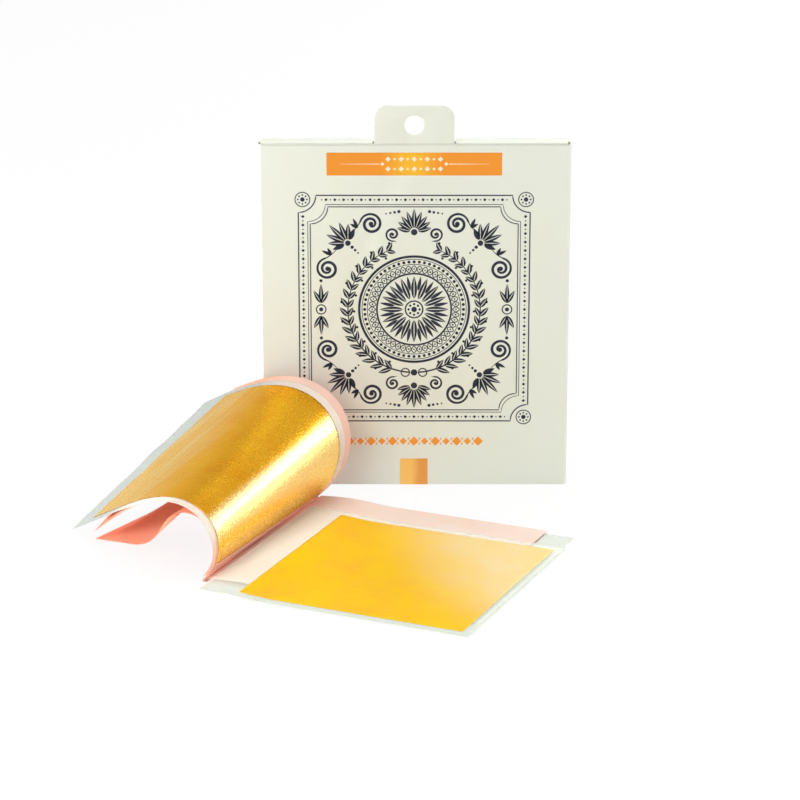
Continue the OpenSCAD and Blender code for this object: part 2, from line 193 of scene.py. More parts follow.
class Shader(Nodes):
    """Maker of one material around a Principled shader."""

    def __init__(self, name: str) -> None:
        """Start an empty material.

        Args:
            name: The material's name.
        """
        self.material = bpy.data.materials.new(name)
        self.material.use_nodes = True
        super().__init__(self.material.node_tree)
        self.output = self.node("OutputMaterial")
        self.surface = self.node("BsdfPrincipled")
        self.feed(self.output.inputs["Surface"], self.surface.outputs[0])

    def set(self, **values: object) -> None:
        """Set the Principled shader's inputs.

        Args:
            **values: Input names with underscores for spaces, and what each is given.
        """
        for key, value in values.items():
            self.feed(self.surface.inputs[key.replace("_", " ")], value)

    def cover(self, share: object, other: bpy.types.Node) -> None:
        """Mix another shader over the Principled one.

        Args:
            share: Share of the other shader.
            other: The other shader.
        """
        both = self.node("MixShader")
        for socket, given in zip(both.inputs, (share, self.surface.outputs[0], other.outputs[0])):
            self.feed(socket, given)
        self.feed(self.output.inputs["Surface"], both.outputs[0])

    def axes(self, uv: bool = False) -> list[Socket]:
        """Give each coordinate in metres.

        Args:
            uv: True for the ply's own UV map instead of the object's axes.

        Returns:
            The three coordinates.
        """
        split = self.node("SeparateXYZ")
        self.feed(split.inputs[0], self.node("TexCoord").outputs["UV" if uv else "Object"])
        return list(split.outputs)

    def place(self, cells: float | Triple, uv: bool = False) -> Socket:
        """Coordinates for a pattern.

        Args:
            cells: Cells a metre, the same or along each axis.
            uv: True to follow the ply's own UV map, which is in metres.

        Returns:
            The scaled coordinates.
        """
        mapping = self.node("Mapping")
        source = self.node("TexCoord").outputs["UV" if uv else "Object"]
        self.feed(mapping.inputs["Vector"], source)
        self.feed(mapping.inputs["Scale"], cells if isinstance(cells, tuple) else (cells,) * 3)
        return mapping.outputs[0]

    def noise(self, cells: float | Triple, detail: float = 3, rough: float = 0.55,
              uv: bool = False) -> Socket:
        """A noise pattern from 0 to 1.

        Args:
            cells: Cells a metre, the same or along each axis.
            detail: Octaves.
            rough: How strong the fine octaves are.
            uv: True to follow the ply's own UV map.

        Returns:
            The noise value.
        """
        made = self.node("TexNoise")
        for key, value in (("Vector", self.place(cells, uv)), ("Scale", 1), ("Detail", detail),
                           ("Roughness", rough)):
            self.feed(made.inputs[key], value)
        return made.outputs[0]

    def bump(self, height: Socket, distance: float, strength: float = 1,
             under: Socket | None = None) -> Socket:
        """Bump from a height pattern.

        Args:
            height: The pattern.
            distance: Height in millimetres that a value of 1 stands for.
            strength: Share of the bump that is used.
            under: The normal of another bump to add this one to.

        Returns:
            The bumped normal.
        """
        made = self.node("Bump")
        for key, value in (("Strength", strength), ("Distance", distance * MM),
                           ("Height", height)):
            self.feed(made.inputs[key], value)
        if under is not None:
            self.feed(made.inputs["Normal"], under)
        return made.outputs[0]


@dataclass(frozen=True)
class Finish:
    """A finish, which makes one material.

    Attributes:
        name: The material's name.
        colour: Its main colour.
    """

    name: str
    colour: Colour

    def material(self) -> bpy.types.Material:
        """Build the material.

        Returns:
            The material.
        """
        shade = Shader(self.name)
        self.dress(shade)
        return shade.material

    def dress(self, shade: Shader) -> None:
        """Lay out the nodes, which each finish below does in its own way."""
        raise NotImplementedError


@dataclass(frozen=True)
class TissueFinish(Finish):
    """Thin tissue with soft fibres, through which some light comes.

    Attributes:
        deep: Its colour where the fibres lie closer; with a turn, the painted shade that it turns
            to.
        glow: Share of the light that comes through.
        turn: Distances from the gutter in millimetres between which the colour turns to the
            painted
        shade, or None where the fibres mix the two colours.
    """

    deep: Colour
    glow: float = 0.2
    turn: Pair | None = None

    def dress(self, shade: Shader) -> None:
        """Lay out the nodes.

        Args:
            shade: The material's maker.
        """
        # With a turn, the colour turns to a painted shade by distance from the gutter.
        if self.turn:
            share = shade.spread(shade.axes(uv=True)[0], *(MM * u for u in self.turn))
        else:
            share = shade.spread(shade.noise(60), 0.32, 0.7)
        colour = shade.mix(share, self.colour, self.deep)
        normal = shade.bump(shade.noise(1400, 4, 0.7), 0.02, 0.5)
        shade.set(Base_Color=colour, Roughness=0.62, Normal=normal, Specular_IOR_Level=0.3)
        through = shade.node("BsdfTranslucent")
        shade.feed(through.inputs["Color"], colour)
        shade.feed(through.inputs["Normal"], normal)
        shade.cover(self.glow, through)


@dataclass(frozen=True)
class WaxedFinish(Finish):
    """Waxed transfer paper, greenish white and see-through.

    Attributes:
        cover: How much one face hides of what is behind it.
        stops: Colours of painted light that it turns to, a glow through it or a shade on it, each
            with
        the distances from the gutter in millimetres where the turn starts and where it is full.
    """

    cover: float
    stops: tuple[tuple[Colour, float, float], ...] = ()

    def dress(self, shade: Shader) -> None:
        """Lay out the nodes.

        Args:
            shade: The material's maker.
        """
        pale = tuple(min(1.0, 1.03 * c) for c in self.colour[:3]) + (1.0,)
        colour = shade.mix(shade.noise(90), self.colour, pale)
        # Painted light: the colour turns to each stop's glow or shade by distance from the gutter.
        for other, start, full in self.stops:
            share = shade.spread(shade.axes(uv=True)[0], start * MM, full * MM)
            colour = shade.mix(share, colour, other)
        shade.set(Base_Color=colour, Alpha=self.cover, Roughness=0.42,
                  Normal=shade.bump(shade.noise(1800, 3, 0.6), 0.004, 0.4))


@dataclass(frozen=True)
class LeafFinish(Finish):
    """Beaten gold leaf with grain, faint mottling, a paler zone of painted sheen, and a painted
    highlight band where one is given.

    Attributes:
        deep: The gold where it lies thin and dull.
        pale: The gold of the pale zone, a painted sheen, over the creases where there are any.
        rough: Roughness where it is brightest and where it is dullest.
        grain: Height of the fine grain in millimetres.
        across: Distances from the gutter in millimetres where the pale zone starts and is full.
        along: Places along the spine in millimetres where it starts and is full.
        slant: Millimetres that the zone lies further out for each millimetre along the spine.
        creases: Height in millimetres of creases along the spine in the pale zone, or 0.
        coat: Weight of the clear gloss over it.
        band: Middle of a painted highlight band in millimetres from the gutter at the near end,
            how
        far it moves for each millimetre along the spine, and half its width.
        metal: Share of the leaf that reflects as bare metal, the rest being dulled.
    """

    deep: Colour
    pale: Colour
    rough: Pair
    grain: float
    across: Pair
    along: Pair
    slant: float
    creases: float = 0.0
    coat: float = 0.0
    band: Triple | None = None
    metal: float = 1.0

    def painted_highlight(self, shade: Shader, u: Socket, v: Socket, streaks: Socket) -> Socket:
        """Share of the painted highlight: full on the band, fainter from it to the gutter.

        Args:
            shade: The material's maker.
            u: Distance from the gutter in metres.
            v: Place along the spine in metres.
            streaks: A streaky pattern that frays the band's edges.

        Returns:
            The share.
        """
        start, lean, half = self.band
        middle = shade.maths("ADD", shade.maths("MULTIPLY", v, lean), start * MM)
        fray = shade.maths("MULTIPLY", shade.maths("SUBTRACT", streaks, 0.5), 0.9 * half * MM)
        off = shade.maths("ADD", shade.maths("SUBTRACT", u, middle), fray)
        # Painted highlight on the band, and a fainter painted reflection from it towards the
        # gutter.
        core = shade.spread(shade.maths("ABSOLUTE", off), 0.15 * half * MM, half * MM, 1, 0)
        side = shade.spread(off, -half * MM, half * MM, 0.52, 0)
        return shade.maths("MAXIMUM", core, side)

    def dress(self, shade: Shader) -> None:
        """Lay out the nodes.

        Args:
            shade: The material's maker.
        """
        u, v = shade.axes(uv=True)[:2]
        mottle = shade.noise(55, 4, 0.6, uv=True)
        grain = shade.noise((1000, 1400, 1000), 4, 0.65, uv=True)
        streaks = shade.noise((260, 1300, 1), 4, 0.65, uv=True)
        wrinkles = shade.noise((190, 120, 1), 3, 0.5, uv=True)
        leant = shade.maths("SUBTRACT", u, shade.maths("MULTIPLY", v, self.slant))
        zone = shade.maths("MULTIPLY", shade.spread(leant, *(MM * x for x in self.across)),
                           shade.spread(v, *(MM * x for x in self.along)))
        colour = shade.mix(shade.spread(mottle, 0.35, 0.75), self.colour, self.deep)
        normal = shade.bump(grain, self.grain, under=shade.bump(wrinkles, 0.06))
        if self.creases:
            lines = shade.noise((380, 15, 1), 4, 0.65, uv=True)
            # The pale zone here is real creases under a painted sheen.
            shown = shade.maths("MULTIPLY", zone, shade.spread(lines, 0.42, 0.6, 0.5, 1))
            colour = shade.mix(shown, colour, self.pale)
            normal = shade.bump(shade.maths("MULTIPLY", zone, lines), self.creases,
                                under=shade.bump(streaks, 0.09, under=normal))
        else:
            # The pale zone here is a painted reflection, paler in soft clouds.
            cloud = shade.spread(mottle, 0.25, 0.75, 0.65, 1.0)
            colour = shade.mix(shade.maths("MULTIPLY", zone, cloud), colour, self.pale)
            colour = shade.mix(shade.spread(streaks, 0.5, 0.75, 0, 0.3), colour, self.deep)
        # Painted highlight: the gold turns pale along the band.
        if self.band:
            colour = shade.mix(self.painted_highlight(shade, u, v, streaks), colour, srgb(255, 236, 176))
        shade.set(Base_Color=colour, Metallic=self.metal, Normal=normal, Coat_Normal=normal,
                  Roughness=shade.spread(grain, 0.3, 0.7, *self.rough),
                  Specular_Tint=(1.0, 0.72, 0.2, 1.0), Coat_Weight=self.coat, Coat_Roughness=0.3)


@dataclass(frozen=True)
class FoilFinish(Finish):
    """Gold foil print with a painted reflection, lighter at its left and browner at its right.

    Attributes:
        brown: Its colour at the right, the darker side of the painted reflection.
        turn: X in millimetres between which the one becomes the other.
    """

    brown: Colour
    turn: Pair = (0, 4)

    def dress(self, shade: Shader) -> None:
        """Lay out the nodes.

        Args:
            shade: The material's maker.
        """
        # Painted reflection: the foil turns from its light left to its browner right along a
        # wandering line.
        cloud = shade.maths("MULTIPLY", shade.noise(260, 4, 0.6), 3 * MM)
        wander = shade.maths("ADD", shade.axes()[0], cloud)
        where = shade.spread(wander, *(MM * x for x in self.turn))
        grain = shade.noise(2200, 4, 0.7)
        shade.set(Base_Color=shade.mix(where, self.colour, self.brown), Metallic=0.75,
                  Roughness=shade.spread(grain, 0.3, 0.7, 0.34, 0.5),
                  Normal=shade.bump(grain, 0.02))


@dataclass(frozen=True)
class CardFinish(Finish):
    """Smooth cream card with a fine tooth.

    Attributes:
        crease: Height in metres of a pressed crease line, or None.
    """

    crease: float | None = None

    def dress(self, shade: Shader) -> None:
        """Lay out the nodes.

        Args:
            shade: The material's maker.
        """
        warm = (self.colour[0], 0.995 * self.colour[1], 0.97 * self.colour[2], 1.0)
        colour = shade.mix(shade.spread(shade.noise(28), 0.35, 0.7), self.colour, warm)
        normal = shade.bump(shade.noise(1600, 4, 0.65), 0.012, 0.5)
        if self.crease is not None:
            rise = shade.maths("SUBTRACT", shade.axes()[2], self.crease)
            away = shade.maths("ABSOLUTE", rise)
            normal = shade.bump(shade.spread(away, 0, 0.5 * MM), 0.3, under=normal)
        shade.set(Base_Color=colour, Roughness=0.6, Normal=normal, Specular_IOR_Level=0.35)


@dataclass(frozen=True)
class InkFinish(Finish):
    """Printing ink on card, a little uneven.

    Attributes:
        worn: The ink where it covers less.
    """

    worn: Colour

    def dress(self, shade: Shader) -> None:
        """Lay out the nodes.

        Args:
            shade: The material's maker.
        """
        specks = shade.noise(900, 4, 0.7)
        shade.set(Base_Color=shade.mix(shade.spread(specks, 0.5, 0.78), self.colour, self.worn),
                  Roughness=0.45, Normal=shade.bump(specks, 0.01, 0.4))


@dataclass(frozen=True)
class BarFinish(Finish):
    """Orange foil print with a painted highlight, a warmer yellow near its middle.

    Attributes:
        warm: The painted highlight's colour at its middle.
        middle: X of the painted highlight's middle in millimetres.
        reach: Distance in millimetres over which the painted highlight fades.
    """

    warm: Colour
    middle: float = -1
    reach: float = 12

    def dress(self, shade: Shader) -> None:
        """Lay out the nodes.

        Args:
            shade: The material's maker.
        """
        # Painted highlight: the bar turns warmer yellow towards its middle.
        away = shade.maths("ABSOLUTE", shade.maths("SUBTRACT", shade.axes()[0], self.middle * MM))
        near = shade.spread(away, 0, self.reach * MM, 1, 0)
        shade.set(Base_Color=shade.mix(near, self.colour, self.warm), Roughness=0.36,
                  Metallic=0.15, Normal=shade.bump(shade.noise(1000, 3, 0.7), 0.015, 0.5))


@dataclass(frozen=True)
class ThreadFinish(Finish):
    """Fine twisted sewing thread."""

    def dress(self, shade: Shader) -> None:
        """Lay out the nodes.

        Args:
            shade: The material's maker.
        """
        twist = shade.node("TexWave", wave_type="BANDS", bands_direction="DIAGONAL")
        shade.feed(twist.inputs["Vector"], shade.place(900))
        dark = tuple(0.8 * c for c in self.colour[:3]) + (1.0,)
        shade.set(Base_Color=shade.mix(twist.outputs[1], dark, self.colour), Roughness=0.75,
                  Normal=shade.bump(twist.outputs[1], 0.03))


class Finishes:
    """Every material of the part, built once."""

    def __init__(self, crease: float) -> None:
        """Build them.

        Args:
            crease: Height in metres of the crease across the foot of the hang tab.
        """
        self.tissue = TissueFinish("tissue_pink", srgb(255, 236, 224),
                                   srgb(255, 230, 215)).material()
        # The hanging page's deeper salmon is painted shade of the same pink tissue under the roll.
        self.shaded = TissueFinish("tissue_salmon", srgb(255, 212, 192), srgb(255, 204, 182),
                                   0.8).material()
        # The turned inner page turns to a salmon painted shade from 56 to 82 mm out from the
        # gutter.
        self.turned = TissueFinish("tissue_turned", srgb(255, 234, 222), srgb(255, 196, 166),
                                   0.5, (56, 82)).material()
        # The glued spine's salmon is painted shade of the pink tissue in the gutter.
        self.fold = TissueFinish("tissue_fold", srgb(255, 198, 180),
                                 srgb(255, 182, 160)).material()
        sheet = WaxedFinish("transfer_paper", srgb(237, 241, 230), 0.3)
        self.sheet = sheet.material()
        # The cut edge turns pinkish white near the gutter, a painted glow of the pink page under
        # it.
        self.sheet_edge = replace(sheet, name="transfer_paper_edge", colour=srgb(226, 231, 221),
                                  cover=1.0, stops=((srgb(250, 238, 226), 8, 5),)).material()
        # The loose sheet is nearly opaque, so its colours are painted: a cream for the pink page
        # showing through, a pink glow near the gutter in the crease's shade, and a grey painted
        # shade at its outer end.
        loose = WaxedFinish("transfer_paper_loose", srgb(234, 222, 208), 0.8,
                            ((srgb(255, 200, 184), 18, 6), (srgb(161, 166, 160), 50, 78)))
        self.loose = loose.material()
        self.loose_edge = replace(loose, name="transfer_paper_loose_edge", cover=1.0).material()
        # The flat leaf's pale far corner is a painted reflection of light at a grazing angle.
        self.leaf = LeafFinish("gold_leaf_flat", srgb(255, 205, 0), srgb(253, 192, 36),
                               srgb(252, 230, 178), rough=(0.38, 0.48), grain=0.02,
                               across=(74, 122), along=(-14, 34), slant=-0.7,
                               metal=0.25).material()
        # The curled leaf's pale zone is creases with a painted sheen; its band is a painted
        # highlight with a fainter painted reflection towards the gutter.
        self.curled = LeafFinish("gold_leaf_curled", srgb(255, 190, 36), srgb(248, 170, 18),
                                 srgb(255, 238, 206), rough=(0.2, 0.32), grain=0.12,
                                 across=(36, 66), along=(-90, -60), slant=0.3, creases=0.14,
                                 coat=0.3, band=(20.3, 0.193, 5)).material()
        self.thread = ThreadFinish("thread", srgb(250, 196, 182)).material()
        cream = srgb(235, 239, 227)
        self.card = CardFinish("card", cream).material()
        self.creased = CardFinish("card_creased", cream, crease).material()
        self.navy = InkFinish("print_navy", srgb(20, 27, 50), srgb(54, 62, 86)).material()
        self.orange = InkFinish("print_orange", srgb(246, 154, 42), srgb(250, 172, 70)).material()
        self.cream = InkFinish("print_cream", srgb(252, 240, 214), srgb(250, 214, 160)).material()
        # The bar's yellow middle is a painted highlight.
        self.bar = BarFinish("print_bar", srgb(246, 152, 32), srgb(254, 190, 30)).material()
        # The foil square's turn from left to right is a painted reflection.
        self.foil = FoilFinish("foil_gold", srgb(250, 196, 104), srgb(232, 160, 80)).material()


def into_scene(name: str, data: bpy.types.ID) -> bpy.types.Object:
    """Make an object and link it to the scene.

    Args:
        name: Its name.
        data: Its mesh, lamp or camera.

    Returns:
        The object.
    """
    made = bpy.data.objects.new(name, data)
    bpy.context.scene.collection.objects.link(made)
    return made


def new_piece(name: str, bm: bmesh.types.BMesh, material: bpy.types.Material, body: Body,
              node: str | None, smooth: bool = True) -> bpy.types.Object:
    """Make an object of a finished mesh and hand it to its body.

    Args:
        name: The piece's name.
        bm: Its mesh, in metres and in place, which is freed.
        material: Its finish.
        body: The body it rides on.
        node: The node of the model that it replaces, or None.
        smooth: True to shade it smooth.

    Returns:
        The object.
    """
    mesh = bpy.data.meshes.new(name)
    bm.normal_update()
    bm.to_mesh(mesh)
    bm.free()
    if smooth:
        mesh.shade_smooth()
    mesh.materials.append(material)
    piece = into_scene(name, mesh)
    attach(piece, body.value)
    if node:
        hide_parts(node)
    LOG.info("%s: %d faces on %s", name, len(mesh.polygons), body.value)
    return piece


@dataclass(frozen=True)
class Ply:
    """A page, sheet or leaf of the booklet: one rectangle laid in its place.

    Attributes:
        name: The piece's name.
        node: The node that it replaces.
        body: The body it rides on.
        slot: The record's slot.
        finish: Its material.
        across: Its edges' distances from the gutter in millimetres.
        along: Its ends' places along the spine in millimetres.
        place: Gives the place in metres for a distance across and a place along.
        cells: Faces across and along.
        ragged: How far its edges wander inwards in millimetres.
        edge: Material of a waxed sheet's cut edge, or None for another ply.
        thick: Thickness of a page in millimetres.
        fine: Thickness of a sheet or leaf.
        rim: Width of a cut edge.
    """

    name: str
    node: str
    body: Body
    slot: Slot
    finish: bpy.types.Material
    across: Pair
    along: Pair
    place: Callable[[float, float], Vector]
    cells: tuple[int, int] = (120, 60)
    ragged: float = 0
    edge: bpy.types.Material | None = None
    thick: float = 0.15
    fine: float = 0.03
    rim: float = 0.5

    def mark_rim(self, bm: bmesh.types.BMesh) -> None:
        """Narrow the outermost faces to the rim and give them the second material.

        Args:
            bm: The grid, a metre square.
        """
        for vert in bm.verts:
            for i, (low, high) in enumerate((self.across, self.along)):
                if abs(abs(vert.co[i]) - 0.5 + 1 / self.cells[i]) < 1e-5:
                    vert.co[i] = (0.5 - self.rim / (high - low)) * (1 if vert.co[i] > 0 else -1)
        for face in bm.faces:
            face.material_index = int(any(vert.is_boundary for vert in face.verts))

    def flat(self, x: float, y: float) -> Pair:
        """Place a point of the grid in the ply's own plane.

        Args:
            x: Its place across, from -0.5 to 0.5.
            y: Its place along, from -0.5 to 0.5.

        Returns:
            Distance across and place along in millimetres.
        """
        u = self.across[0] + (x + 0.5) * (self.across[1] - self.across[0])
        v = self.along[0] + (y + 0.5) * (self.along[1] - self.along[0])
        if self.ragged:
            stray = self.ragged * abs(noise.noise(Vector((0, v / 2.1, 0))))
            u -= 2 * x * edge_share(x) * stray
            stray = self.ragged * abs(noise.noise(Vector((u / 2.1, 0, 3))))
            v -= 2 * y * edge_share(y) * stray
        return u, v

    def build(self) -> None:
        """Lay the ply with a UV map in metres, and give it its thickness and finish."""
        bm = bmesh.new()
        bmesh.ops.create_grid(bm, x_segments=self.cells[0], y_segments=self.cells[1], size=0.5)
        uv = bm.loops.layers.uv.new("ply")
        if self.edge:
            self.mark_rim(bm)
        flat = {vert: self.flat(vert.co.x, vert.co.y) for vert in bm.verts}
        for face in bm.faces:
            for loop in face.loops:
                loop[uv].uv = [MM * part for part in flat[loop.vert]]
        for vert, (u, v) in flat.items():
            vert.co = self.place(u, v)
        piece = new_piece(self.name, bm, self.finish, self.body, self.node)
        if self.edge:
            piece.data.materials.append(self.edge)
            piece.visible_shadow = False  # waxed paper hardly dims light
        solid = piece.modifiers.new("thickness", "SOLIDIFY")
        solid.thickness = MM * (self.fine if self.slot in (Slot.SHEET, Slot.GOLD) else self.thick)
        solid.offset = 0
        piece.modifiers.new("normals", "WEIGHTED_NORMAL").weight = 100


def edge_share(x: float) -> float:
    """How near an edge of a grid from -0.5 to 0.5 is, from 0 to 1 over its last 2 percent."""
    return max(0.0, (abs(x) - 0.48) / 0.02)


@dataclass(frozen=True)
class Lay:
    """How the booklet lies on the table, in millimetres.

    Attributes:
        turn: Turn of the spine from the depth direction, in degrees.
        near: Place of the spine's near end.
    """

    turn: float = 24
    near: Pair = (-70.396, -98.599)

    def point(self, u: float, v: float, z: float) -> Vector:
        """Place a point of the booklet.

        Args:
            u: Distance across from the gutter in millimetres.
            v: Distance along the spine in millimetres.
            z: Height in millimetres.

        Returns:
            The place in metres.
        """
        c, s = cos(radians(self.turn)), sin(radians(self.turn))
        return Vector((self.near[0] + u * c + v * s, self.near[1] - u * s + v * c, z)) * MM


def ease(t: float, power: float) -> float:
    """Rise from 0 to 1.

    Args:
        t: How far along, from 0 to 1.
        power: How steep the middle is.

    Returns:
        The risen share.
    """
    if t <= 0 or t >= 1:
        return min(1.0, max(0.0, t))
    return t**power / (t**power + (1 - t) ** power)


@dataclass(frozen=True)
class Arc:
    """Course of a curled page across the spine, as a direction that turns along it.

    Attributes:
        start: Direction in degrees before the bend, 90 is straight up.
        end: Direction after the bend.
        bend_from: Distance along the page in millimetres where the bend starts.
        bend_to: Distance where it ends.
        power: How steep the middle of the bend is.
        drift: Millimetres that the page drifts along the spine over its first 100.
        back: Degrees that it turns back again.
        back_from: Distance where it starts to turn back.
        back_to: Distance where that ends.
        rise: Height of the gutter in millimetres.
    """

    start: float
    end: float
    bend_from: float
    bend_to: float
    power: float
    drift: float
    back: float = 0
    back_from: float = 0
    back_to: float = 1
    rise: float = 0.6

    def heading(self, s: float) -> float:
        """Direction at a distance along the page.

        Args:
            s: The distance in millimetres.

        Returns:
            The direction in radians.
        """
        bent = ease((s - self.bend_from) / (self.bend_to - self.bend_from), self.power)
        back = self.back * ease((s - self.back_from) / (self.back_to - self.back_from), 1.6)
        return radians(self.start + (self.end - self.start) * bent - back)

    def walk(self, reach: int = 106) -> list[Pair]:
        """Points of the arc, a millimetre apart.

        Args:
            reach: Length of the walk in millimetres.

        Returns:
            Distance from the gutter and height of each point.
        """
        points = [(0.0, self.rise)]
        for i in range(reach):
            turn = self.heading(i + 0.5)
            share = sqrt(1 - (2 * self.drift * (i + 0.5) / 10000) ** 2)
            points.append((points[-1][0] + share * cos(turn), points[-1][1] + share * sin(turn)))
        return points


class Curl:
    """Surface between a near and a far arc of a turned page."""

    near_v = -2.2
    span_v = 87.0

    def __init__(self, near: Arc, far: Arc) -> None:
        """Walk along both arcs.

        Args:
            near: Arc at the near edge.
            far: Arc at the far edge.
        """
        self.arcs = (near, far)
        self.walks = (near.walk(), far.walk())

    def point(self, s: float, v: float, lift: float) -> Triple:
        """A point of a curled ply.

        Args:
            s: Distance along the page in millimetres.
            v: Place along the spine in millimetres.
            lift: Distance outward from the surface in millimetres.

        Returns:
            Distance across, place along the spine and height in millimetres.
        """
        share = (v - self.near_v) / self.span_v
        i = int(s)
        spots, sides, drift = [], [], 0.0
        for arc, walk, part in zip(self.arcs, self.walks, (1 - share, share)):
            here, after = Vector(walk[i]), Vector(walk[i + 1])
            spots.append(here.lerp(after, s - i) * part)
            turn = arc.heading(s)
            sides.append(Vector((sin(turn), -cos(turn))) * part)
            drift += part * arc.drift * (s / 100) ** 2
        out = (sides[0] + sides[1]).normalized() * lift
        spot = spots[0] + spots[1] + out
        return (spot.x, v + drift, spot.y)


@dataclass
class TurnedPages:
    """The pages turned to the left: a leaf on its sheet over two tissue pages.

    Attributes:
        finishes: The part's materials.
        lay: How the booklet lies.
        page: Width and height of a page in millimetres.
        page_in: Distance from the gutter to a page in millimetres.
        sheet_in: Distance from the gutter to the sheet.
        sheet_w: Width of the sheet.
        margin: Bare margin of the sheet round the leaf.
        leaf_side: Side of the leaf.
        page_drop: Distance from the sheet's surface down to the page under it.
        leaf_lift: Distance from the sheet's surface up to the leaf.
        hang_drop: Distance from the hanging surface down to the hanging page.
        roll: Arcs of the rolled plies at their near and far edges.
        hang: Arcs of the hanging page.
    """

    finishes: Finishes
    lay: Lay = field(default_factory=Lay)
    page: Pair = (88, 88.5)
    page_in: float = 0.8
    sheet_in: float = 2.9
    sheet_w: float = 97
    margin: float = 3.5
    leaf_side: float = 80
    page_drop: float = 0.235
    leaf_lift: float = 0.175
    hang_drop: float = 1
    roll: tuple[Arc, Arc] = (Arc(18, 211, -49.7, 85.8, 3, 26.4), Arc(30, 211, -43, 117, 2.7, 7))
    hang: tuple[Arc, Arc] = (Arc(18, 267.5, -49.7, 96, 3, 26.4, 76, 44.5, 69),
                             Arc(30, 285, -43, 134, 2.7, 7))

    def ripple(self, s: float, v: float) -> float:
        """Slight waves of the free edges, shared by the roll's plies.

        Args:
            s: Distance along the page in millimetres.
            v: Place along the spine in millimetres.

        Returns:
            The height in millimetres.
        """
        broad = noise.noise(Vector((s / 34, v / 21, 2.5)))
        fine = noise.noise(Vector((s / 13, v / 9, 7)))
        return 0.55 * max(0.0, (s - 30) / 70) ** 1.5 * (broad + 0.5 * fine)

    def sag(self, s: float, v: float) -> float:
        """Sag in millimetres of the inner page below its sheet."""
        near = max(0.0, 1 - v / self.page[1])
        return max(0.0, (s - 44) / 44) ** 1.5 * (0.4 + 1.2 * near + 2.2 * near**3)

    def on(self, curl: Curl,
           lift: Callable[[float, float], float]) -> Callable[[float, float], Vector]:
        """How a ply lies on a curled surface.

        Args:
            curl: The surface.
            lift: Gives its distance outward in millimetres.

        Returns:
            A function from distance along the page and place along the spine to the place.
        """
        return lambda s, v: self.lay.point(*curl.point(s, v, lift(s, v)))

    def build(self) -> None:
        """Build the four plies and dress them."""
        roll, hang = Curl(*self.roll), Curl(*self.hang)
        f, ripple, body = self.finishes, self.ripple, Body.TURNED
        w, h = self.page
        across, along = (self.page_in, w), (0, h)
        near, cells = roll.near_v, (150, 60)
        start, low = self.sheet_in + self.margin, near + self.margin
        for made in (
            Ply("inner_page_turned", "page_left_inner", body, Slot.TISSUE, f.turned, across, along,
                self.on(roll, lambda s, v: ripple(s, v) - self.page_drop - self.sag(s, v)), cells),
            Ply("sheet_turned", "transfer_sheet_left", body, Slot.SHEET, f.loose,
                (self.sheet_in, self.sheet_in + self.sheet_w), (near, near + roll.span_v),
                self.on(roll, ripple), cells, edge=f.loose_edge),
            Ply("leaf_turned", "gold_leaf_left", body, Slot.GOLD, f.curled,
                (start, start + self.leaf_side), (low, low + self.leaf_side),
                self.on(roll, lambda s, v: ripple(s, v) + self.leaf_lift), (170, 110), 0.35),
            Ply("outer_page_turned", "page_left_outer", body, Slot.SALMON, f.shaded, across, along,
                self.on(hang, lambda s, v: 0.3 * ripple(s, h - v) - self.hang_drop), cells),
        ):
            made.build()


